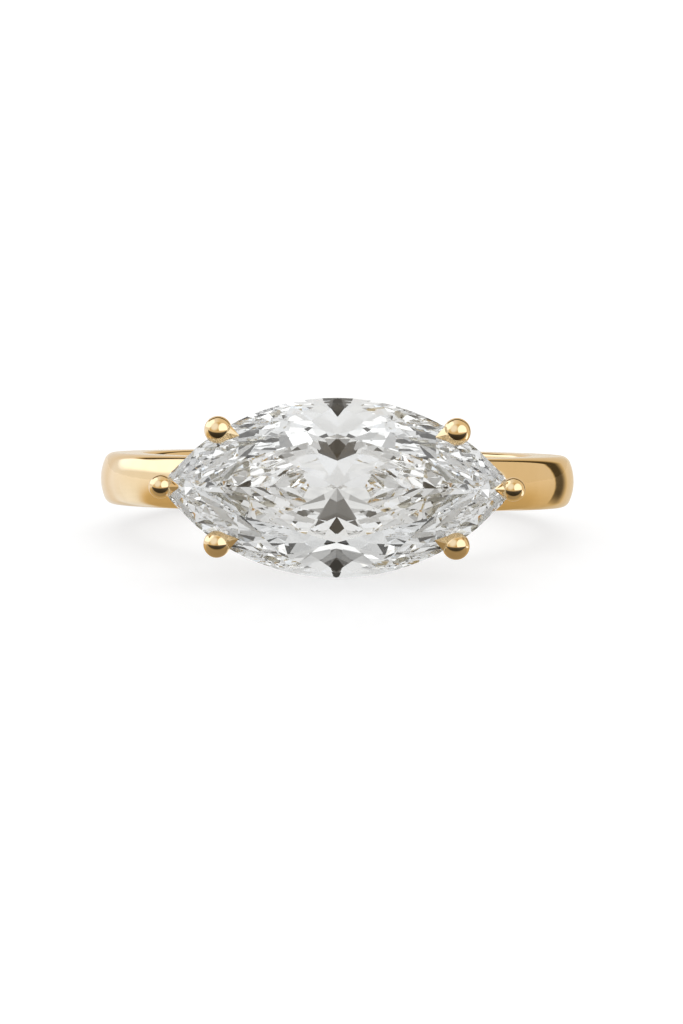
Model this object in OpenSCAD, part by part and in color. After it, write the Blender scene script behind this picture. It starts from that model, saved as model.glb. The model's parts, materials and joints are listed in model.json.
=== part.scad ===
// East west ring: a plain gold band, a basket with six claws and one marquise stone set sideways.
// The ring lies on its side, as it rests on a table: the stone faces -Y and the finger hole
// runs almost along Z.
// It stands on two places: the low edge of the stone's girdle in front and the band's lower edge behind.

/* [Band] */
// Inner diameter of the band, the finger's size
finger_d = 16.5; // [15:0.1:21]
// Thickness of the band between the finger and its outer face
band_wall = 1.85; // [1.5:0.05:2.2]
// Width of the band along the finger
band_w = 2.2; // [1.9:0.05:3]
// Radius of the gentle curve across the band's outer face
dome_r = 2.1; // [1.8:0.1:4]
// Radius of the rounding along the band's two outer edges
outer_edge_r = 0.45; // [0.3:0.05:0.6]
// Radius of the rounding along the band's two inner edges
inner_edge_r = 0.2; // [0.1:0.05:0.3]

/* [Stone] */
// Length of the stone, across the finger
stone_l = 13.9; // [12:0.1:16]
// Width of the stone, along the finger
stone_w = 7.3; // [6.4:0.1:8.4]
// Radius of the stone's blunt points, seen from above
point_r = 0.9; // [0.6:0.05:1.2]
// Height of the crown above the girdle
crown_h = 1.05; // [0.8:0.05:1.4]
// Thickness of the girdle where the facets meet it
girdle_h = 0.28; // [0.22:0.01:0.4]
// Depth of the pavilion below the girdle
pavilion_h = 3; // [2.7:0.05:3.8]

/* [Basket] */
// Gap between the band's outer face and the stone's lowest point
culet_gap = 0.45; // [0.2:0.05:1]
// Diameter of the six legs
leg_d = 0.84; // [0.7:0.02:1]
// Diameter of the gallery rail's wire
rail_d = 0.74; // [0.6:0.02:0.9]
// Height of the gallery rail above the band's outer face
rail_up = 1.35; // [1.1:0.05:1.7]
// Distance of the side legs' feet from the middle of the band
side_foot = 1.9; // [1.5:0.05:2.3]
// Distance of the end legs' feet from the middle of the band
end_foot = 3.4; // [3:0.05:4]

/* [Claws] */
// Place of the side claws along the stone, from its middle
side_claw = 4.8; // [4.2:0.05:5.3]
// Diameter of a side claw's round head
side_head_d = 1.12; // [1:0.02:1.3]
// Diameter of an end claw's round head
end_head_d = 0.98; // [0.9:0.02:1.1]
// How far the point of a side claw reaches over the stone, from the girdle's edge
side_reach_l = 0.7; // [0.55:0.05:0.95]
// How far the point of an end claw reaches over the stone, from the girdle's edge
end_reach_l = 0.45; // [0.35:0.05:0.6]
// Angle between the point of a side claw and the stone's length
claw_turn = 15; // [5:1:40]
// Clearance between the stone and the metal that holds it
seat_gap = 0.03; // [0.02:0.005:0.05]

/* [Hidden] */
$fn = 96;

// Sizes that follow from the driving ones
inner_r = finger_d / 2;
outer_r = inner_r + band_wall;
mid_r = (inner_r + outer_r) / 2;
// The middles of the rounded outer edges. Each one touches the curve of the outer face.
edge_z = band_w / 2 - outer_edge_r;
edge_r = outer_r - dome_r + sqrt(pow(dome_r - outer_edge_r, 2) - edge_z * edge_z);
half_l = stone_l / 2;
half_w = stone_w / 2;
// Height of the girdle's lower edge above the middle of the finger hole
seat_z = outer_r + culet_gap + pavilion_h;
rail_z = outer_r + rail_up;
// How far the middle of a side leg and of an end leg stand outside the girdle
side_out = 0.08;
end_out = 0.2;
// How far the middle of a claw's head stands above the girdle
head_up = 0.2;
// A side leg's foot stands at this share of the way from the band's middle to its edge
foot_spread = 0.8;
// Radius of a claw's point, and where it leaves the head, as shares of the head's radius
point_share = 0.3;
neck_share = 0.95;
// The end of a claw's point is a ball this much wider than the bar it closes
cap_share = 1.04;
// Two flats filed on a claw's point meet in a ridge. It leaves the head at this angle from its top and
// ends at this share of the point's radius below the point's middle. Each flat falls away from it.
ridge_start = 42;
ridge_drop = 0.25;
flat_fall = 35;

// Facets of the crown, as shares of half the length, half the width and the crown's height
table_end = 0.67;
table_shoulder = [0.55, 0.31];
table_side = 0.6;
ridge_end = 0.83;
end_share = 0.77;
star_share = 0.62;
// Pavilion facets: the lines that leave the lowest point, at these angles from the stone's length.
// They have corners on an inner and an outer ring, with a middle ring between the lines, each at
// its share of the way out. The facets bow down by pavilion_bow.
pavilion_lines = [0, 27, 57, 90];
pavilion_inner = [0.5, 0.32, 0.5, 0.32];
pavilion_middle = 0.6;
pavilion_outer = 0.82;
pavilion_bow = 0.15;
// Straight pieces that draw each of the four stretches of girdle in a quarter
girdle_steps = 4;

// The marquise outline: an arc of radius side_r round (0, -side_k), and a small one at the point
function side_r(a, b, p) = ((a - p) * (a - p) + b * b - p * p) / (2 * (b - p));
function on_side(r, k, t) = [r * cos(t), r * sin(t) - k];
function on_point(a, p, t) = [a - p + p * cos(t), p * sin(t)];

// Distance from the middle to the outline, in the direction of an angle
function way_out(a, r, k, angle) = angle == 0 ? a : sqrt(r * r - pow(k * cos(angle), 2)) - k * sin(angle);

// Depth of the pavilion at a share of the way out
function pavilion_z(depth, share) = -depth * (1 - share) * (1 + pavilion_bow * share);

// Height of the plane through three points, above the place q
function lift(a, b, c, q) =
    let (n = cross(b - a, c - a))
    a.z - (n.x * (q.x - a.x) + n.y * (q.y - a.y)) / n.z;

// A girdle stretch laid onto the plane of its facet
function laid(run, a, b, c) = [for (q = run) [q.x, q.y, lift(a, b, c, q)]];

// The outer points of one quarter stretch, from angle t0 to t1 of the long arc
function side_run(r, k, t0, t1) = [
    for (i = [0:girdle_steps]) on_side(r, k, t0 + (t1 - t0) * i / girdle_steps)
];

// A pavilion corner at an angle and a share of the way out
function corner(a, r, k, depth, angle, share) =
    let (out = share * way_out(a, r, k, angle))
    [angle == 90 ? 0 : out * cos(angle), out * sin(angle), pavilion_z(depth, share)];

function raised(q, z) = [q.x, q.y, z];
function reversed(list) = [for (i = [len(list) - 1:-1:0]) list[i]];
function mirrored(face, sx, sy) = [for (q = face) [sx * q.x, sy * q.y, q.z]];

// Facets of one quarter of a marquise brilliant with half sizes a and b. Its girdle starts at z = 0.
function quarter(a, b, p, crown, girdle, depth) =
    let (
        r = side_r(a, b, p),
        k = r - b,
        join = atan2(k, a - p),
        top = girdle + crown,
        // Corners of the table
        mid = [0, 0, top],
        t_end = [table_end * a, 0, top],
        t_shoulder = [table_shoulder.x * a, table_shoulder.y * b, top],
        t_side = [0, table_side * b, top],
        // The shoulder facet meets the girdle square to its edge
        turn = atan2(t_shoulder.y + k, t_shoulder.x),
        toward = [cos(turn), sin(turn)],
        u_girdle = on_side(r, k, turn) * toward,
        u_table = t_shoulder.x * toward.x + t_shoulder.y * toward.y,
        // Girdle corners, from the point to the side
        t1 = (join + turn) / 2,
        t3 = (turn + 90) / 2,
        end_run = [for (i = [0:girdle_steps]) on_point(a, p, join * i / girdle_steps)],
        runs = [
            concat(end_run, [on_side(r, k, t1)]),
            side_run(r, k, t1, turn),
            side_run(r, k, turn, t3),
            side_run(r, k, t3, 90)
        ],
        corners = [[a, 0], on_side(r, k, t1), on_side(r, k, turn), on_side(r, k, t3), [0, b]],
        g = [for (q = corners) raised(q, girdle)],
        h = [for (q = corners) raised(q, 0)],
        // Crown corners between the table and the girdle
        ridge = [ridge_end * a, 0, girdle + end_share * crown],
        u_ridge = u_girdle - (u_girdle - u_table) * end_share,
        along = (u_ridge - ridge.x * toward.x) / (u_table - t_end.x * toward.x),
        s_end = ridge + along * (t_shoulder - t_end),
        s_y = b - (b - t_side.y) * star_share,
        s_u = u_girdle - (u_girdle - u_table) * star_share,
        s_side = [(s_u - s_y * toward.y) / toward.x, s_y, girdle + star_share * crown],
        // Pavilion corners: an inner and an outer ring on the lines, and a middle ring between them
        lines = pavilion_lines,
        culet = [0, 0, -depth],
        inner = [for (i = [0:3]) corner(a, r, k, depth, lines[i], pavilion_inner[i])],
        middle = [for (i = [0:2]) corner(a, r, k, depth, (lines[i] + lines[i + 1]) / 2, pavilion_middle)],
        outer = [for (angle = lines) corner(a, r, k, depth, angle, pavilion_outer)],
        crown_tips = [ridge, s_end, s_side, s_side],
        upper = [for (i = [0:3]) laid(runs[i], crown_tips[i], g[i], g[i + 1])],
        lower = [for (i = [0:3]) laid(runs[i], outer[i], h[i], h[i + 1])]
    )
    concat(
        [
            [mid, t_end, t_shoulder, t_side],
            [t_end, ridge, s_end, t_shoulder],
            [t_shoulder, s_end, g[2], s_side],
            [t_shoulder, s_side, t_side],
            [t_side, s_side, g[4]],
            [ridge, g[1], s_end]
        ],
        [
            for (i = [0:2], facet = [
                [culet, inner[i + 1], inner[i]],
                [inner[i], inner[i + 1], middle[i]],
                [inner[i], middle[i], outer[i]],
                [inner[i + 1], outer[i + 1], middle[i]],
                [middle[i], outer[i + 1], outer[i]],
                [outer[i], outer[i + 1], h[i + 1]]
            ]) facet
        ],
        [for (i = [0:3]) concat([crown_tips[i]], upper[i])],
        [for (i = [0:3]) concat([outer[i]], reversed(lower[i]))],
        [
            for (i = [0:3], j = [0:len(runs[i]) - 2])
                [upper[i][j], lower[i][j], lower[i][j + 1], upper[i][j + 1]]
        ]
    );

// A whole marquise brilliant: the quarter and its three mirror images
module marquise(a, b, p, crown, girdle, depth) {
    part = quarter(a, b, p, crown, girdle, depth);
    signs = [[1, 1], [-1, 1], [-1, -1], [1, -1]];
    facets = [
        for (s = signs, f = part)
            s.x * s.y > 0 ? reversed(mirrored(f, s.x, s.y)) : mirrored(f, s.x, s.y)
    ];
    starts = [for (i = 0, n = 0; i < len(facets); n = n + len(facets[i]), i = i + 1) n];
    polyhedron(
        points = [for (f = facets, q = f) q],
        faces = [for (i = [0:len(facets) - 1]) [for (j = [0:len(facets[i]) - 1]) starts[i] + j]]
    );
}

module stone_body(grow = 0) {
    crown = crown_h + grow / 2;
    pavilion = pavilion_h + grow / 2;
    translate([0, 0, seat_z - grow / 2])
        marquise(half_l + grow, half_w + grow, point_r + grow, crown, girdle_h + grow, pavilion);
}

// The band's section, to the right of the finger hole's axis
module band_section() {
    tall = band_w / 2;
    translate([inner_r + inner_edge_r, -tall])
        square([edge_r - inner_r - inner_edge_r, band_w]);
    translate([inner_r, inner_edge_r - tall])
        square([inner_edge_r * 2, band_w - inner_edge_r * 2]);
    for (side = [-1, 1]) {
        translate([inner_r + inner_edge_r, side * (tall - inner_edge_r)])
            circle(inner_edge_r);
        translate([edge_r, side * edge_z])
            circle(outer_edge_r);
    }
    // The curved outer face, between the two edges
    spread = asin(edge_z / (dome_r - outer_edge_r));
    past = [edge_r, edge_z] + outer_edge_r * 3 * [cos(spread), sin(spread)];
    intersection() {
        translate([outer_r - dome_r, 0])
            circle(dome_r);
        polygon([[edge_r, -edge_z], [past.x, -past.y], past, [edge_r, edge_z]]);
    }
}

module band() {
    rotate_extrude($fn = 180)
        band_section();
}

// A round bar between two points, with a radius at each end
module bar(from, to, r_from, r_to) {
    run = to - from;
    translate(from)
        rotate([0, acos(run.z / norm(run)), atan2(run.y, run.x)])
            cylinder(h = norm(run), r1 = r_from, r2 = r_to);
}

// The six claws: where each holds the girdle, the way out of the stone there, the way of its point,
// its foot, how far its leg stands outside the girdle, its reach and the diameter of its head
arc_r = side_r(half_l, half_w, point_r);
arc_k = arc_r - half_w;
side_turn = acos(side_claw / arc_r);
foot_y = (band_w - leg_d) / 2 * foot_spread;
holds = [
    for (s = [-1, 1]) [
        [s * half_l, 0],
        [s, 0],
        [-s, 0],
        [s * end_foot, 0],
        end_out,
        end_reach_l,
        end_head_d
    ],
    for (s = [-1, 1], t = [-1, 1]) [
        [s * side_claw, t * (arc_r * sin(side_turn) - arc_k)],
        [s * cos(side_turn), t * sin(side_turn)],
        [-s * cos(claw_turn), -t * sin(claw_turn)],
        [s * side_foot, t * foot_y],
        side_out,
        side_reach_l,
        side_head_d
    ]
];
// The crown rises this much for each millimetre in from the girdle
crown_slope = crown_h / (half_w * (1 - table_side));

// Names for a row's columns
function edge(h) = h[0];
function way(h) = h[1];
function aim(h) = h[2];
function foot(h) = [h[3].x, h[3].y, sqrt(mid_r * mid_r - h[3].x * h[3].x)];
function leg_out(h) = h[4];
function reach(h) = h[5];
function head_r(h) = h[6] / 2;

// Places and sizes that follow from a row
function off_edge(h, way, l, z) = [edge(h).x + way.x * l, edge(h).y + way.y * l, z];
function tip_r(h) = head_r(h) * point_share;
function crown_rise(h) = reach(h) * -(aim(h) * way(h)) * crown_slope;
function head(h) = off_edge(h, way(h), leg_out(h), seat_z + girdle_h + head_up);
function tip(h) = off_edge(h, aim(h), reach(h), seat_z + girdle_h + crown_rise(h) + tip_r(h));
function ridge_dip(h) =
    let (run = tip(h) - head(h), along = norm([run.x, run.y]), r = head_r(h))
    atan2(r * cos(ridge_start) - run.z + ridge_drop * tip_r(h), along - r * sin(ridge_start));
function between(a, b, z) = a + (b - a) * (z - a.z) / (b.z - a.z);

// What a file takes off a claw's point: all that is above the two flats
module filed_off(h) {
    r = head_r(h);
    translate(head(h))
        rotate([0, 0, atan2(aim(h).y, aim(h).x)])
            translate([r * sin(ridge_start), 0, r * cos(ridge_start)])
                rotate([0, ridge_dip(h), 0])
                    for (side = [-1, 1])
                        rotate([side * flat_fall, 0, 0])
                            translate([-2 * r, -2 * r, 0])
                                cube([4 * r, 4 * r, 2 * r]);
}

// One leg with its claw: a round head and a point that lies on the crown
module prong(h) {
    bar(foot(h), head(h), leg_d / 2, leg_d / 2);
    translate(head(h))
        sphere(head_r(h));
    difference() {
        union() {
            bar(head(h), tip(h), head_r(h) * neck_share, tip_r(h));
            translate(tip(h))
                sphere(tip_r(h) * cap_share, $fn = 48);
        }
        filed_off(h);
    }
}

// The gallery rail: two arcs of wire that pass through the middle of every leg
module rail() {
    at_end = between(foot(holds[0]), head(holds[0]), rail_z);
    at_side = between(foot(holds[2]), head(holds[2]), rail_z);
    x_end = abs(at_end.x);
    y_side = abs(at_side.y);
    k = (x_end * x_end - at_side.x * at_side.x - y_side * y_side) / (2 * y_side);
    r = sqrt(x_end * x_end + k * k);
    sweep = 2 * asin(x_end / r);
    for (turn = [0, 180])
        rotate([0, 0, turn])
            translate([0, -k, rail_z])
                rotate([0, 0, 90 - sweep / 2])
                    rotate_extrude(angle = sweep, $fn = 180)
                        translate([r, 0])
                            circle(rail_d / 2, $fn = 48);
}

// Tilt of the ring at rest: a line under the stone's low edge that touches the band's rounded
// lower edge behind
rest_run = edge_r + seat_z;
rest_drop = half_w - edge_z;
rest_tilt = atan2(rest_drop, rest_run) - asin(outer_edge_r / norm([rest_run, rest_drop]));
// The front edge of the table and the back of the band set the middle of the part
front_y = -(seat_z + girdle_h + crown_h) * cos(rest_tilt) - table_side * half_w * sin(rest_tilt);
back_y = (outer_r - dome_r) * cos(rest_tilt) + dome_r;
rest_up = seat_z * sin(-rest_tilt) + half_w * cos(rest_tilt);

// Lays what is modelled round the finger hole's axis, with the stone up, into the resting place
module at_rest() {
    translate([0, -(front_y + back_y) / 2, rest_up])
        rotate([-rest_tilt, 0, 0])
            children();
}

module setting() {
    color([0.86, 0.7, 0.42])
        at_rest() {
            band();
            rotate([90, 0, 0])
                difference() {
                    union() {
                        for (h = holds)
                            prong(h);
                        rail();
                    }
                    stone_body(seat_gap);
                }
        }
}

module stone() {
    color([0.9, 0.93, 0.95, 0.6])
        at_rest()
            rotate([90, 0, 0])
                stone_body();
}

setting();
stone();
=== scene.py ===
# East west ring: polished yellow gold band, claw basket and a marquise diamond set sideways.
import bpy
import bmesh
import json
import math
from mathutils import Matrix, Vector


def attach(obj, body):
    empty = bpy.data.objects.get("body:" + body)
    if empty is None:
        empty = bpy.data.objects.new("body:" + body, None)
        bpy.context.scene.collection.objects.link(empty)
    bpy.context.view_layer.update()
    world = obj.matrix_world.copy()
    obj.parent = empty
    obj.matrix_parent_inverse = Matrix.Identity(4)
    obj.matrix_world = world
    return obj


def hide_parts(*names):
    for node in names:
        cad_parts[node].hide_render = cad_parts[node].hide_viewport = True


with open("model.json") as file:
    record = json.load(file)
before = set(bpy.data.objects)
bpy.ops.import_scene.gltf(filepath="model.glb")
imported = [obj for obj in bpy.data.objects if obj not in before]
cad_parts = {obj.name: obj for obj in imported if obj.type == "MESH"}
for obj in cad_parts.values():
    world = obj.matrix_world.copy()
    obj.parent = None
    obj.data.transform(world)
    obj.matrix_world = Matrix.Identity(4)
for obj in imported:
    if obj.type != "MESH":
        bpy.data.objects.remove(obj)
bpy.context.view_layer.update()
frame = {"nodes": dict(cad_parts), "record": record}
print("frame loaded", sorted(frame["nodes"]))

record = frame["record"]
stone = frame["nodes"]["stone"]
setting = frame["nodes"]["setting"]
fingerHole = record["mounts"][0]
holeMiddle = Vector(fingerHole["pos_m"])
holeAxis = Vector(fingerHole["axis"]).normalized()
mm = 0.001

# The head's own frame, in mm from the middle of the finger hole:
# x along the stone, y along the finger, z out of the ring through the stone
headOut = Vector((1, 0, 0)).cross(holeAxis)
headTurn = Matrix((Vector((1, 0, 0)), holeAxis, headOut)).transposed().to_4x4()
headToRow = Matrix.Translation(holeMiddle) @ headTurn @ Matrix.Scale(mm, 4)
rowToHead = headToRow.inverted()


# Camera: a long lens, a little above the surface that the ring lies on
cameraLook = {
    "lens": 222.0,          # mm
    "sensorWide": 36,       # mm
    "distance": 0.270,      # from the middle of the finger hole
    "elevation": 8.0,       # degrees above the surface
    "roll": 0.47,           # degrees, lifts the left side a little
    "aimRight": 0.00018,    # the ring stands a little left of the picture's middle
    "aimDown": 0.00139,     # and above it
    "clipNear": 0.01,
    "clipFar": 20,
}


def makeCamera(look):
    up = math.radians(look["elevation"])
    roll = math.radians(look["roll"])
    forward = Vector((0, math.cos(up), -math.sin(up)))
    flatRight = Vector((1, 0, 0))
    flatUp = flatRight.cross(forward)
    right = flatRight * math.cos(roll) + flatUp * math.sin(roll)
    top = flatUp * math.cos(roll) - flatRight * math.sin(roll)
    data = bpy.data.cameras.new("photoCamera")
    data.lens = look["lens"]
    data.sensor_width = look["sensorWide"]
    data.clip_start = look["clipNear"]
    data.clip_end = look["clipFar"]
    cam = bpy.data.objects.new("photoCamera", data)
    aim = holeMiddle + right * look["aimRight"] - top * look["aimDown"]
    spot = aim - forward * look["distance"]
    turn = Matrix((right, top, -forward)).transposed().to_4x4()
    cam.matrix_world = Matrix.Translation(spot) @ turn
    bpy.context.collection.objects.link(cam)
    bpy.context.scene.camera = cam


makeCamera(cameraLook)
print("camera placed")


# Small helpers for node trees
def newMaterial(name):
    mat = bpy.data.materials.new(name)
    mat.use_nodes = True
    tree = mat.node_tree
    tree.nodes.clear()
    out = tree.nodes.new("ShaderNodeOutputMaterial")
    shader = tree.nodes.new("ShaderNodeBsdfPrincipled")
    tree.links.new(shader.outputs["BSDF"], out.inputs["Surface"])
    return mat, tree, shader


def plug(tree, value, socket):
    if isinstance(value, bpy.types.NodeSocket):
        tree.links.new(value, socket)
    else:
        socket.default_value = value


def mathNode(tree, operation, a, b=0.0, third=0.0):
    node = tree.nodes.new("ShaderNodeMath")
    node.operation = operation
    plug(tree, a, node.inputs[0])
    plug(tree, b, node.inputs[1])
    plug(tree, third, node.inputs[2])
    return node.outputs[0]


def vectorNode(tree, operation, a, b=(0, 0, 0), scale=1.0):
    node = tree.nodes.new("ShaderNodeVectorMath")
    node.operation = operation
    plug(tree, a, node.inputs[0])
    plug(tree, b, node.inputs[1])
    if operation == "SCALE":
        plug(tree, scale, node.inputs["Scale"])
    return node.outputs["Value"] if operation == "DOT_PRODUCT" else node.outputs["Vector"]


def rampNode(tree, value, low, high, lowTo=0.0, highTo=1.0):
    node = tree.nodes.new("ShaderNodeMapRange")
    node.interpolation_type = "SMOOTHSTEP"
    plug(tree, value, node.inputs["Value"])
    plug(tree, low, node.inputs["From Min"])
    plug(tree, high, node.inputs["From Max"])
    plug(tree, lowTo, node.inputs["To Min"])
    plug(tree, highTo, node.inputs["To Max"])
    return node.outputs["Result"]


def mixFloat(tree, share, a, b):
    node = tree.nodes.new("ShaderNodeMix")
    node.data_type = "FLOAT"
    for slot, amount in ((0, share), (2, a), (3, b)):
        plug(tree, amount, node.inputs[slot])
    return node.outputs[0]


def mixColor(tree, share, a, b):
    node = tree.nodes.new("ShaderNodeMix")
    node.data_type = "RGBA"
    for slot, amount in ((0, share), (6, a), (7, b)):
        plug(tree, amount, node.inputs[slot])
    return node.outputs[2]


def noiseNode(tree, where, scale, detail, rough):
    node = tree.nodes.new("ShaderNodeTexNoise")
    plug(tree, where, node.inputs["Vector"])
    plug(tree, scale, node.inputs["Scale"])
    node.inputs["Detail"].default_value = detail
    node.inputs["Roughness"].default_value = rough
    return node.outputs["Fac"]


def newGroup(name, inputs, outputs):
    tree = bpy.data.node_groups.new(name, "ShaderNodeTree")
    for label, kind in inputs:
        tree.interface.new_socket(label, in_out="INPUT", socket_type=kind)
    for label, kind in outputs:
        tree.interface.new_socket(label, in_out="OUTPUT", socket_type=kind)
    start = tree.nodes.new("NodeGroupInput")
    end = tree.nodes.new("NodeGroupOutput")
    return tree, start.outputs, end.inputs


def placeGroup(tree, group, **values):
    node = tree.nodes.new("ShaderNodeGroup")
    node.node_tree = group
    for label, value in values.items():
        plug(tree, value, node.inputs[label])
    return node.outputs


grainLook = {
    "detail": 2.0,
    "coarseRough": 0.5,
    "fineRough": 0.6,
    "fineTimes": 6.0,       # the fine noise is this many times finer
    "fineShare": 0.5,       # and adds this share to the height
    "maskFade": (0.35, 0.65),
    "depth": 0.00002,       # metres, at full strength
}


def makeFineGrain(look):
    # Group: a fine grain, drawn out by Stretch, as a soft mask and as a height
    tree, inputs, outputs = newGroup(
        "fineGrain",
        [("Vector", "NodeSocketVector"), ("Size", "NodeSocketFloat"), ("Stretch", "NodeSocketVector")],
        [("Mask", "NodeSocketFloat"), ("Height", "NodeSocketFloat")])
    drawn = vectorNode(tree, "MULTIPLY", inputs["Vector"], inputs["Stretch"])
    fineSize = mathNode(tree, "MULTIPLY", inputs["Size"], look["fineTimes"])
    coarse = noiseNode(tree, drawn, inputs["Size"], look["detail"], look["coarseRough"])
    fine = noiseNode(tree, drawn, fineSize, look["detail"], look["fineRough"])
    height = mathNode(tree, "MULTIPLY_ADD", fine, look["fineShare"], third=coarse)
    tree.links.new(rampNode(tree, coarse, *look["maskFade"]), outputs["Mask"])
    tree.links.new(height, outputs["Height"])
    return tree


def bumpNode(tree, height, strength, shader):
    bump = tree.nodes.new("ShaderNodeBump")
    bump.inputs["Strength"].default_value = strength
    bump.inputs["Distance"].default_value = grainLook["depth"]
    tree.links.new(height, bump.inputs["Height"])
    tree.links.new(bump.outputs["Normal"], shader.inputs["Normal"])


fineGrain = makeFineGrain(grainLook)

# Studio. Each patch of light or shade lies round a direction and is full within the inner angle.
# What the stone and the floor get is a white tent with a dark opening round the camera.
tentLook = {
    "level": 0.8,
    "patches": [
        {"toward": (0, 0, 1), "outer": 60, "inner": 45, "level": 1.2},
        {"toward": (-0.45, -0.75, 0.5), "outer": 16, "inner": 13, "level": 0.35},
        {"toward": (0.45, -0.75, 0.5), "outer": 16, "inner": 13, "level": 0.5},
        {"toward": (-0.8, -0.55, 0.1), "outer": 16, "inner": 13, "level": 0.45},
        {"toward": (0.8, -0.55, 0.1), "outer": 16, "inner": 13, "level": 0.3},
        {"toward": (-0.75, -0.2, 0.65), "outer": 18, "inner": 14, "level": 1.5},
        {"toward": (0.75, -0.2, 0.65), "outer": 18, "inner": 14, "level": 0.5},
        {"toward": (0, -0.5, 0.87), "outer": 18, "inner": 14, "level": 0.55},
        {"toward": (0, 0.2, 1), "outer": 15, "inner": 12, "level": 0.6},
        {"toward": (-0.3, -0.85, -0.35), "outer": 18, "inner": 14, "level": 0.4},
        {"toward": (0.35, -0.85, -0.35), "outer": 18, "inner": 14, "level": 0.6},
        {"toward": (0, -0.9903, 0.1387), "outer": 30, "inner": 24, "level": 0.12},
        {"toward": (0, -0.9903, 0.1387), "outer": 14, "inner": 10, "level": 0.03},
    ],
}
# What lights the floor: a soft box behind the ring, so that its shadow falls toward the camera
shadowLook = {
    "level": 0.36,
    "patches": [{"toward": (0, 0.80, 0.60), "outer": 50, "inner": 14, "level": 3.2}],
}
# What polished faces mirror: a pale backdrop with a dark frame, side walls and soft boxes. Its tones
# below the horizon are a painted reflection, put into the floor's colour and glow for mirrored rays only
mirrorLook = {
    "backdropRight": 0.74,
    "backdropLeft": 0.82,
    "backdropHalfWide": 40,     # degrees either side of straight back
    "backdropTall": 46,         # degrees up
    "frameRight": 0.07,
    "frameLeft": 0.91,
    "wallLeft": 0.91,
    "wallRight": 0.78,
    "wallFront": 0.64,
    "floorLeft": 1.0,
    "floorRight": 0.68,
    "floorFront": 0.6,
    "boxes": [
        {"toward": (-0.75, 0.05, 0.66), "outer": 32, "inner": 22, "level": 1.5},
        {"toward": (-0.45, -0.70, 0.55), "outer": 44, "inner": 10, "level": 1.0},
        {"toward": (0.72, -0.62, 0.30), "outer": 43, "inner": 37, "level": 1.4},
    ],
    # The long soft box at the left back: a row of round patches
    "strip": {
        "from": (-0.91, 0.19, 0.38),
        "to": (-0.69, 0.67, 0.27),
        "count": 6,
        "outer": 13,
        "inner": 5,
        "level": 1.5,
    },
    # Where one tone gives way to the next, along the direction's x, y or z
    "leftToRight": (-0.3, 0.3),
    "frontToWall": (-0.45, -0.15),
    "frontToFloor": (0.05, 0.5),
    "floorToWall": (-0.5, 0.1),
    "frameFoot": (-0.5, -0.2),
    "frameTop": (0.36, 0.48),
    # and out from the backdrop's middle, where 1 is its edge
    "backdropToFrame": (0.7, 0.97),
    "frameToWall": (1.15, 1.21),
    "shadeTint": (1, 0.80, 0.46, 1),      # shaded walls are warmer
    "lightTint": (1, 1.1, 1.3, 1),        # and bright ones cooler
    "tintTurn": (0.62, 1.02),             # levels from the one tint to the other
    "pivot": (8.25, -2.5, 2.2),           # mm, where the band's mirrored rays seem to start
    # Painted shade on the floor in front, seen only in polished faces: where a tone starts, where it is
    # full (mm) and its level
    "paintedFrontShade": [(-10.0, -11.5, 0.42), (-13.2, -14.4, 0.03), (-26.0, -40.0, 0.62)],
    "paintedFrontTint": (1, 0.85, 0.6),
}


def degCos(angle):
    return math.cos(math.radians(angle))


def degSin(angle):
    return math.sin(math.radians(angle))


def addPatches(tree, where, level, patches):
    for patch in patches:
        closeness = vectorNode(tree, "DOT_PRODUCT", where, Vector(patch["toward"]).normalized())
        share = rampNode(tree, closeness, degCos(patch["outer"]), degCos(patch["inner"]))
        level = mixFloat(tree, share, level, patch["level"])
    return level


def stripPatches(strip):
    start = Vector(strip["from"])
    end = Vector(strip["to"])
    shares = [i / (strip["count"] - 1) for i in range(strip["count"])]
    return [{**strip, "toward": start.lerp(end, share)} for share in shares]


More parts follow.
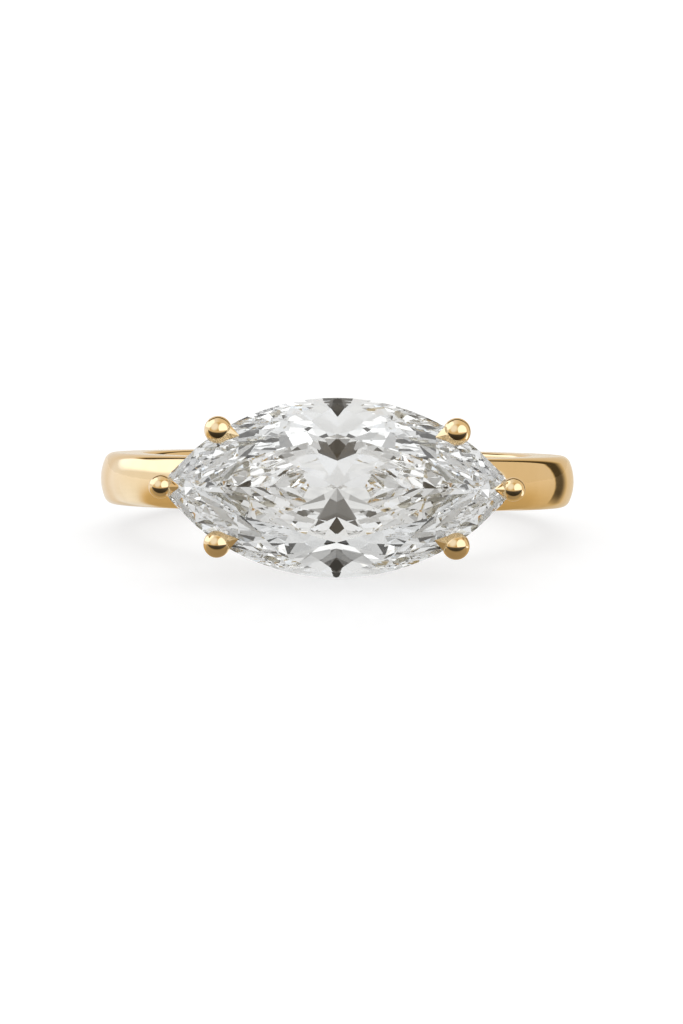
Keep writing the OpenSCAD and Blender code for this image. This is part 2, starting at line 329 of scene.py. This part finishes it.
def makeMirrorStudio(look):
    # Group: what a polished face mirrors from a direction
    tree, inputs, outputs = newGroup(
        "mirrorStudio", [("Direction", "NodeSocketVector")], [("Color", "NodeSocketColor")])
    where = vectorNode(tree, "NORMALIZE", inputs["Direction"])
    parts = tree.nodes.new("ShaderNodeSeparateXYZ")
    tree.links.new(where, parts.inputs[0])
    x, y, z = parts.outputs
    # A little over 1, so that straight up divides by no zero
    flat = mathNode(tree, "SQRT", mathNode(tree, "SUBTRACT", 1.0001, mathNode(tree, "MULTIPLY", z, z)))
    turn = mathNode(tree, "ARCCOSINE", mathNode(tree, "DIVIDE", y, flat))
    rise = mathNode(tree, "ABSOLUTE", mathNode(tree, "ARCSINE", z))
    across = mathNode(tree, "DIVIDE", turn, math.radians(look["backdropHalfWide"]))
    upward = mathNode(tree, "DIVIDE", rise, math.radians(look["backdropTall"]))
    both = mathNode(tree, "ADD", mathNode(tree, "POWER", across, 4), mathNode(tree, "POWER", upward, 4))
    reach = mathNode(tree, "POWER", both, 0.25)    # 1 along the backdrop's rounded edge
    right = rampNode(tree, x, *look["leftToRight"])
    walls = mixFloat(tree, right, look["wallLeft"], look["wallRight"])
    walls = mixFloat(tree, rampNode(tree, y, *look["frontToWall"]), look["wallFront"], walls)
    low = mixFloat(tree, right, look["floorLeft"], look["floorRight"])
    low = mixFloat(tree, rampNode(tree, y, *look["frontToFloor"]), look["floorFront"], low)
    sides = mixFloat(tree, rampNode(tree, z, *look["floorToWall"]), low, walls)
    frameTone = mixFloat(tree, right, look["frameLeft"], look["frameRight"])
    frameTone = mixFloat(tree, rampNode(tree, z, *look["frameTop"]), frameTone, look["frameRight"])
    frameTone = mixFloat(tree, rampNode(tree, z, *look["frameFoot"]), low, frameTone)
    backdrop = mixFloat(tree, right, look["backdropLeft"], look["backdropRight"])
    level = mixFloat(tree, rampNode(tree, reach, *look["backdropToFrame"]), backdrop, frameTone)
    level = mixFloat(tree, rampNode(tree, reach, *look["frameToWall"]), level, sides)
    level = addPatches(tree, where, level, look["boxes"] + stripPatches(look["strip"]))
    bright = rampNode(tree, level, *look["tintTurn"])
    tint = mixColor(tree, bright, look["shadeTint"], look["lightTint"])
    tree.links.new(vectorNode(tree, "SCALE", tint, scale=level), outputs["Color"])
    return tree


def polishedRay(tree):
    # 1 for what a polished face mirrors, 0 for what is seen straight or through the stone
    path = tree.nodes.new("ShaderNodeLightPath")
    straight = mathNode(tree, "SUBTRACT", 1, path.outputs["Is Transmission Ray"])
    return mathNode(tree, "MULTIPLY", path.outputs["Is Glossy Ray"], straight)


mirrorStudio = makeMirrorStudio(mirrorLook)


def makeWorld(look, shadow):
    world = bpy.data.worlds.new("tent")
    bpy.context.scene.world = world
    world.use_nodes = True
    tree = world.node_tree
    tree.nodes.clear()
    out = tree.nodes.new("ShaderNodeOutputWorld")
    sky = tree.nodes.new("ShaderNodeBackground")
    tree.links.new(sky.outputs[0], out.inputs["Surface"])
    where = tree.nodes.new("ShaderNodeTexCoord").outputs["Generated"]
    tent = addPatches(tree, where, look["level"], look["patches"])
    soft = addPatches(tree, where, shadow["level"], shadow["patches"])
    diffuse = tree.nodes.new("ShaderNodeLightPath").outputs["Is Diffuse Ray"]
    white = vectorNode(tree, "SCALE", (1, 1, 1), scale=mixFloat(tree, diffuse, tent, soft))
    mirrored = placeGroup(tree, mirrorStudio, Direction=where)["Color"]
    tree.links.new(mixColor(tree, polishedRay(tree), white, mirrored), sky.inputs["Color"])


makeWorld(tentLook, shadowLook)

# Floor: a white sheet that clips to pure white, with a very faint shadow
floorLook = {
    "size": 4.0,
    "color": (0.30, 0.30, 0.30, 1),
    "fiberColor": (0.28, 0.28, 0.28, 1),
    "fiberSize": 900.0,
    "fiberBump": 0.05,
    "fiberStretch": (1, 0.35, 1),
    "roughness": 0.6,
    "specular": 0.1,
    "paintedThroughStone": 0.78,   # painted shade: the sheet's level where the diamond shows it
    "glow": 0.735,          # own light, as of a light table, so that the sheet reaches white
}


def makeFloor(look):
    half = look["size"] / 2
    corners = [(-half, -half, 0), (half, -half, 0), (half, half, 0), (-half, half, 0)]
    mesh = bpy.data.meshes.new("paleFloor")
    mesh.from_pydata(corners, [], [(0, 1, 2, 3)])
    floor = bpy.data.objects.new("paleFloor", mesh)
    bpy.context.collection.objects.link(floor)
    mat, tree, shader = newMaterial("paleFloor")
    where = tree.nodes.new("ShaderNodeTexCoord").outputs["Object"]
    grain = placeGroup(
        tree, fineGrain, Vector=where, Size=look["fiberSize"], Stretch=look["fiberStretch"])
    sheet = mixColor(tree, grain["Mask"], look["color"], look["fiberColor"])
    bumpNode(tree, grain["Height"], look["fiberBump"], shader)
    # Painted reflection: polished faces see the sheet in the mirror studio's tones, painted into its
    # colour and glow for mirrored rays only
    pivot = Vector(mirrorLook["pivot"]) * mm
    parts = tree.nodes.new("ShaderNodeSeparateXYZ")
    tree.links.new(where, parts.inputs[0])
    side = mathNode(tree, "SIGN", parts.outputs[0])
    beside = mathNode(tree, "SUBTRACT", mathNode(tree, "ABSOLUTE", parts.outputs[0]), pivot.x)
    away = tree.nodes.new("ShaderNodeCombineXYZ")
    plug(tree, mathNode(tree, "MULTIPLY", beside, side), away.inputs[0])
    plug(tree, mathNode(tree, "SUBTRACT", parts.outputs[1], pivot.y), away.inputs[1])
    plug(tree, -pivot.z, away.inputs[2])
    mirrored = placeGroup(tree, mirrorStudio, Direction=away.outputs[0])["Color"]
    front = parts.outputs[1]
    # Painted shade: darker bands on the sheet in front of the ring, for mirrored rays only
    for start, full, level in mirrorLook["paintedFrontShade"]:
        share = rampNode(tree, front, full * mm, start * mm, 1, 0)
        shade = [level * part for part in mirrorLook["paintedFrontTint"]]
        mirrored = mixColor(tree, share, mirrored, (*shade, 1))
    # Painted shade: where the diamond shows the sheet, its colour and glow are painted darker
    dim = look["paintedThroughStone"]
    through = tree.nodes.new("ShaderNodeLightPath").outputs["Is Transmission Ray"]
    plain = mixColor(tree, through, (1, 1, 1, 1), (dim, dim, dim, 1))
    tone = mixColor(tree, polishedRay(tree), plain, mirrored)
    tree.links.new(vectorNode(tree, "MULTIPLY", tone, sheet), shader.inputs["Base Color"])
    tree.links.new(tone, shader.inputs["Emission Color"])
    shader.inputs["Roughness"].default_value = look["roughness"]
    shader.inputs["Specular IOR Level"].default_value = look["specular"]
    shader.inputs["Emission Strength"].default_value = look["glow"]
    mesh.materials.append(mat)


makeFloor(floorLook)
print("studio ready")


# Meshes are made in the head's frame, in mm
ballTurn = 0.04     # radians; these keep the seams of balls and bars off other edges
barTurn = 0.02


def meshObject(name, verts, faces):
    mesh = bpy.data.meshes.new(name)
    mesh.from_pydata(verts, [], faces)
    obj = bpy.data.objects.new(name, mesh)
    bpy.context.collection.objects.link(obj)
    return obj


def bmeshObject(name, bm):
    mesh = bpy.data.meshes.new(name)
    bm.to_mesh(mesh)
    bm.free()
    obj = bpy.data.objects.new(name, mesh)
    bpy.context.collection.objects.link(obj)
    return obj


def ballObject(name, middle, radius, steps):
    bm = bmesh.new()
    place = Matrix.Translation(middle) @ Matrix.Rotation(ballTurn, 4, "Z")
    bmesh.ops.create_uvsphere(bm, u_segments=steps * 2, v_segments=steps, radius=radius, matrix=place)
    return bmeshObject(name, bm)


def barObject(name, start, end, startR, endR, steps):
    run = end - start
    turn = run.to_track_quat("Z", "Y").to_matrix().to_4x4()
    place = Matrix.Translation((start + end) / 2) @ turn @ Matrix.Rotation(barTurn, 4, "Z")
    bm = bmesh.new()
    bmesh.ops.create_cone(
        bm, cap_ends=True, segments=steps, radius1=startR, radius2=endR, depth=run.length, matrix=place)
    return bmeshObject(name, bm)


def combine(target, others, operation):
    for other in others:
        cut = target.modifiers.new("combine", "BOOLEAN")
        cut.operation = operation
        cut.solver = "EXACT"
        cut.object = other
    graph = bpy.context.evaluated_depsgraph_get()
    mesh = bpy.data.meshes.new_from_object(target.evaluated_get(graph))
    old = target.data
    target.modifiers.clear()
    target.data = mesh
    bpy.data.meshes.remove(old)
    for other in others:
        bpy.data.objects.remove(other)
    return target


# Gold: band, six legs with claws, gallery rail
settingLook = {
    "bandWide": 2.2,        # mm, from here on
    "domeR": 2.1,           # of the band's outer face
    "outerEdge": 0.45,
    "innerEdge": 0.2,
    "pointR": 0.9,          # of the stone's rounded ends
    "legD": 0.84,
    "railD": 0.74,
    "railUp": 1.35,         # rail's middle above the band
    "sideFoot": 1.9,        # where a leg starts, along the stone
    "endFoot": 3.4,
    "footSpread": 0.8,      # share of the band's width that the side legs' feet take up
    "sideClaw": 4.8,        # from the stone's middle
    "sideHead": 1.12,       # diameters of the heads
    "endHead": 0.98,
    "headUp": 0.2,          # head's middle above the girdle
    "sideOut": 0.08,        # and out from its edge
    "endOut": 0.2,
    "sideReach": 0.7,       # how far a point reaches over the crown
    "endReach": 0.45,
    "clawTurn": 15,         # degrees that a side claw's point turns in from the stone's length
    "crownSlope": 0.719,    # its rise over its run
    "neckShare": 0.95,      # of the head's radius, where the point's cone starts
    "pointShare": 0.3,      # and where it ends
    "capShare": 1.04,       # of the point's radius, for the ball that rounds its end
    "ridgeStart": 42,       # degrees
    "ridgeDrop": 0.25,      # the ridge ends this share of the point's radius below its middle
    "flatFall": 35,         # degrees
    "seatGap": 0.03,
    "seatMerge": 0.0005,    # the seat's corners closer than this are one
    "bandSteps": 288,
    "edgeSteps": 8,
    "headSteps": 36,
    "railSteps": 24,
    "longFlat": 0.4,        # flats of the band's section longer than this
    "supportShare": 0.06,   # get a point at this share from each end
    "smoothAngle": 14,      # degrees
}
stoneCorners = [rowToHead @ v.co for v in stone.data.vertices]
stoneHalfL = max(q.x for q in stoneCorners)
stoneHalfW = max(q.y for q in stoneCorners)
stoneLow = min(q.z for q in stoneCorners)
stoneTop = max(q.z for q in stoneCorners)
settingCorners = [rowToHead @ v.co for v in setting.data.vertices]
innerR = fingerHole["dims"]["r_mm"]
outerR = max(q.x for q in settingCorners)
girdleTop = max(q.z for q in stoneCorners if q.x > stoneHalfL - 0.01)    # at the stone's end


def bandOutline(look):
    # The band's section: radius and place along the finger, each corner once
    tall = look["bandWide"] / 2
    edge = look["outerEdge"]
    dome = look["domeR"]
    inner = look["innerEdge"]
    edgeY = tall - edge
    edgeR = outerR - dome + math.sqrt((dome - edge) ** 2 - edgeY ** 2)
    spread = math.degrees(math.asin(edgeY / (dome - edge)))
    arcs = (
        (edgeR, -edgeY, edge, -90, -spread), (outerR - dome, 0, dome, -spread, spread),
        (edgeR, edgeY, edge, spread, 90), (innerR + inner, tall - inner, inner, 90, 180),
        (innerR + inner, inner - tall, inner, 180, 270))
    outline = []
    for r, y, radius, start, end in arcs:
        for step in range(look["edgeSteps"] + 1):
            angle = start + (end - start) * step / look["edgeSteps"]
            spot = (r + radius * degCos(angle), y + radius * degSin(angle))
            if not outline or math.dist(spot, outline[-1]) > 0.001:
                outline.append(spot)
    return outline


def withSupports(outline, look):
    # Adds points close to the ends of each long flat, so that flat faces shade flat
    share = look["supportShare"]
    full = []
    for step, (r, y) in enumerate(outline):
        nextR, nextY = outline[(step + 1) % len(outline)]
        full.append((r, y))
        if math.hypot(nextR - r, nextY - y) > look["longFlat"]:
            for part in (share, 1 - share):
                full.append((r + (nextR - r) * part, y + (nextY - y) * part))
    return full


def makeBand(look):
    outline = withSupports(bandOutline(look), look)
    count = len(outline)
    steps = look["bandSteps"]
    verts = []
    faces = []
    for turn in range(steps):
        angle = 360 * turn / steps
        for r, y in outline:
            verts.append((r * degSin(angle), y, r * degCos(angle)))
    for turn in range(steps):
        here = turn * count
        there = (turn + 1) % steps * count
        for step in range(count):
            after = (step + 1) % count
            faces.append((here + step, here + after, there + after, there + step))
    return meshObject("band", verts, faces)


def holdList(look):
    # The six claws: the girdle's edge, the way out of the stone there and the way of the claw's point
    point = look["pointR"]
    arcR = ((stoneHalfL - point) ** 2 + stoneHalfW ** 2 - point ** 2) / (2 * (stoneHalfW - point))
    arcDown = arcR - stoneHalfW
    turn = math.acos(look["sideClaw"] / arcR)
    footY = (look["bandWide"] - look["legD"]) / 2 * look["footSpread"]
    holds = []
    for side in (-1, 1):
        holds.append({
            "edge": Vector((side * stoneHalfL, 0)), "way": Vector((side, 0)), "aim": Vector((-side, 0)),
            "foot": (side * look["endFoot"], 0), "out": look["endOut"],
            "reach": look["endReach"], "headR": look["endHead"] / 2})
        for up in (-1, 1):
            holds.append({
                "edge": Vector((side * look["sideClaw"], up * (arcR * math.sin(turn) - arcDown))),
                "way": Vector((side * math.cos(turn), up * math.sin(turn))),
                "aim": Vector((-side * degCos(look["clawTurn"]), -up * degSin(look["clawTurn"]))),
                "foot": (side * look["sideFoot"], up * footY),
                "out": look["sideOut"], "reach": look["sideReach"], "headR": look["sideHead"] / 2})
    return holds


def footPoint(hold):
    x, y = hold["foot"]
    middleR = (innerR + outerR) / 2
    return Vector((x, y, math.sqrt(middleR ** 2 - x ** 2)))


def headPoint(hold, look):
    spot = hold["edge"] + hold["way"] * hold["out"]
    return Vector((spot.x, spot.y, girdleTop + look["headUp"]))


def tipPoint(hold, look):
    spot = hold["edge"] + hold["aim"] * hold["reach"]
    rise = -hold["aim"].dot(hold["way"]) * hold["reach"] * look["crownSlope"]
    return Vector((spot.x, spot.y, girdleTop + rise + hold["headR"] * look["pointShare"]))


def ridgeDip(hold, look):
    run = tipPoint(hold, look) - headPoint(hold, look)
    r = hold["headR"]
    down = r * (degCos(look["ridgeStart"]) + look["ridgeDrop"] * look["pointShare"]) - run.z
    return math.atan2(down, run.xy.length - r * degSin(look["ridgeStart"]))


def flatBlock(hold, look, side):
    # What the file takes off one side of a claw's point
    r = hold["headR"]
    heading = math.atan2(hold["aim"].y, hold["aim"].x)
    place = (
        Matrix.Translation(headPoint(hold, look))
        @ Matrix.Rotation(heading, 4, "Z")
        @ Matrix.Translation((r * degSin(look["ridgeStart"]), 0, r * degCos(look["ridgeStart"])))
        @ Matrix.Rotation(ridgeDip(hold, look), 4, "Y")
        @ Matrix.Rotation(side * math.radians(look["flatFall"]), 4, "X")
        @ Matrix.Translation((0, 0, r)))
    bm = bmesh.new()
    bmesh.ops.create_cube(bm, size=1, matrix=place @ Matrix.Diagonal((4 * r, 4 * r, 2 * r, 1)))
    return bmeshObject("flatBlock", bm)


def stoneSeat(look):
    # The stone, grown by the gap
    gap = look["seatGap"]
    middle = (stoneTop + stoneLow) / 2
    half = (stoneTop - stoneLow) / 2
    grow = Vector(((stoneHalfL + gap) / stoneHalfL, (stoneHalfW + gap) / stoneHalfW, (half + gap) / half))
    seat = bpy.data.objects.new("stoneSeat", stone.data.copy())
    bpy.context.collection.objects.link(seat)
    for vertex, q in zip(seat.data.vertices, stoneCorners):
        vertex.co = (q.x * grow.x, q.y * grow.y, middle + (q.z - middle) * grow.z)
    bm = bmesh.new()
    bm.from_mesh(seat.data)
    bmesh.ops.remove_doubles(bm, verts=bm.verts, dist=look["seatMerge"])
    bm.to_mesh(seat.data)
    bm.free()
    return seat


def makeClaw(hold, look):
    foot = footPoint(hold)
    head = headPoint(hold, look)
    tip = tipPoint(hold, look)
    r = hold["headR"]
    steps = look["headSteps"]
    point = barObject("point", head, tip, r * look["neckShare"], r * look["pointShare"], steps * 2)
    cap = ballObject("cap", tip, r * look["pointShare"] * look["capShare"], steps // 2)
    combine(point, [cap], "UNION")
    combine(point, [flatBlock(hold, look, -1), flatBlock(hold, look, 1)], "DIFFERENCE")
    claw = ballObject("claw", head, r, steps)
    leg = barObject("leg", foot, head, look["legD"] / 2, look["legD"] / 2, steps * 2)
    combine(claw, [point, leg], "UNION")
    return combine(claw, [stoneSeat(look)], "DIFFERENCE")


def makeRail(holds, look, side):
    # Half of the gallery rail: an arc of wire that ends inside the two end legs
    railZ = outerR + look["railUp"]

    def along(hold):
        foot = footPoint(hold)
        head = headPoint(hold, look)
        return foot + (head - foot) * (railZ - foot.z) / (head.z - foot.z)

    endSpot = along(holds[0])
    sideSpot = along(holds[1])
    endX = abs(endSpot.x)
    sideX = abs(sideSpot.x)
    sideY = abs(sideSpot.y)
    down = (endX ** 2 - sideX ** 2 - sideY ** 2) / (2 * sideY)
    arcR = math.hypot(endX, down)
    half = math.asin(endX / arcR)
    steps = look["headSteps"] * 2
    rounds = look["railSteps"]
    verts = []
    faces = []
    for step in range(steps + 1):
        turn = half * (2 * step / steps - 1)
        for part in range(rounds):
            angle = 360 * part / rounds
            r = arcR + look["railD"] / 2 * degCos(angle)
            z = railZ + look["railD"] / 2 * degSin(angle)
            verts.append((r * math.sin(turn), side * (r * math.cos(turn) - down), z))
    for step in range(steps):
        here = step * rounds
        there = here + rounds
        for part in range(rounds):
            after = (part + 1) % rounds
            faces.append((here + part, here + after, there + after, there + part))
    faces.append(tuple(range(rounds)))
    faces.append(tuple(steps * rounds + part for part in range(rounds)))
    rail = meshObject("rail", verts, faces)
    bm = bmesh.new()
    bm.from_mesh(rail.data)
    bmesh.ops.recalc_face_normals(bm, faces=bm.faces)
    bm.to_mesh(rail.data)
    bm.free()
    return combine(rail, [stoneSeat(look)], "DIFFERENCE")


def makeSetting(look, mat):
    holds = holdList(look)
    parts = [makeBand(look)]
    parts += [makeClaw(hold, look) for hold in holds]
    parts += [makeRail(holds, look, side) for side in (-1, 1)]
    bm = bmesh.new()
    for part in parts:
        bm.from_mesh(part.data)
        bpy.data.objects.remove(part)
    bmesh.ops.transform(bm, matrix=headToRow, verts=bm.verts)
    bmesh.ops.recalc_face_normals(bm, faces=bm.faces)
    gold = bmeshObject("goldSetting", bm)
    for face in gold.data.polygons:
        face.use_smooth = True
        face.material_index = 0
    gold.data.set_sharp_from_angle(angle=math.radians(look["smoothAngle"]))
    gold.data.materials.clear()
    gold.data.materials.append(mat)
    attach(gold, "root")
    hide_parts("setting")
    return gold


goldLook = {
    "color": (0.90, 0.66, 0.36, 1),
    "wornColor": (0.885, 0.645, 0.345, 1),
    "paintedThroughStone": (0.62, 0.60, 0.54, 1),    # painted reflection: a paler grey stands in for the gold where the diamond shows it
    "roughness": 0.035,
    "wornRoughness": 0.09,
    "grainSize": 1400.0,
    "grainStretch": (1, 1, 0.4),
    "grainBump": 0.012,
}


def goldMaterial(look):
    mat, tree, shader = newMaterial("polishedGold")
    where = tree.nodes.new("ShaderNodeTexCoord").outputs["Object"]
    grain = placeGroup(
        tree, fineGrain, Vector=where, Size=look["grainSize"], Stretch=look["grainStretch"])
    polish = mixColor(tree, grain["Mask"], look["color"], look["wornColor"])
    # Painted reflection: where the diamond shows the gold, its colour is painted a pale grey
    path = tree.nodes.new("ShaderNodeLightPath")
    tone = mixColor(tree, path.outputs["Is Transmission Ray"], polish, look["paintedThroughStone"])
    tree.links.new(tone, shader.inputs["Base Color"])
    shader.inputs["Metallic"].default_value = 1
    rough = mixFloat(tree, grain["Mask"], look["roughness"], look["wornRoughness"])
    tree.links.new(rough, shader.inputs["Roughness"])
    bumpNode(tree, grain["Height"], look["grainBump"], shader)
    return mat


gold = makeSetting(settingLook, goldMaterial(goldLook))
print("gold setting made,", len(gold.data.polygons), "faces")


# Diamond
diamondLook = {
    "tint": (0.985, 0.99, 0.98, 1),
    "innerTint": (0.965, 0.968, 0.95, 1),
    "tintSize": 260.0,
    "ior": 2.417,
    "glare": (0.28, 0.25, 0.21, 1),     # keeps the crown's own reflections low
    "girdleRoughness": 0.3,             # the girdle is ground, not polished
    "girdleFade": (0.02, 0.08),         # how far a ground face may lean, as a cosine
}


def diamondMaterial(look):
    mat, tree, shader = newMaterial("diamond")
    where = tree.nodes.new("ShaderNodeTexCoord").outputs["Object"]
    grain = placeGroup(tree, fineGrain, Vector=where, Size=look["tintSize"], Stretch=(1, 1, 1))
    tint = mixColor(tree, grain["Mask"], look["tint"], look["innerTint"])
    tree.links.new(tint, shader.inputs["Base Color"])
    # Girdle faces stand square to the table
    facing = tree.nodes.new("ShaderNodeNewGeometry").outputs["True Normal"]
    tableward = mathNode(tree, "ABSOLUTE", vectorNode(tree, "DOT_PRODUCT", facing, headOut))
    ground = rampNode(tree, tableward, *look["girdleFade"], look["girdleRoughness"], 0)
    tree.links.new(ground, shader.inputs["Roughness"])
    shader.inputs["Transmission Weight"].default_value = 1
    shader.inputs["IOR"].default_value = look["ior"]
    shader.inputs["Specular Tint"].default_value = look["glare"]
    return mat


stone.data.materials.clear()
stone.data.materials.append(diamondMaterial(diamondLook))
print("diamond ready")

# White stays white, and light goes through the stone's facets many times
scene = bpy.context.scene
scene.view_settings.view_transform = "Standard"
scene.cycles.max_bounces = 32
scene.cycles.transmission_bounces = 32
scene.cycles.glossy_bounces = 32
scene.cycles.diffuse_bounces = 4
scene.cycles.caustics_reflective = False
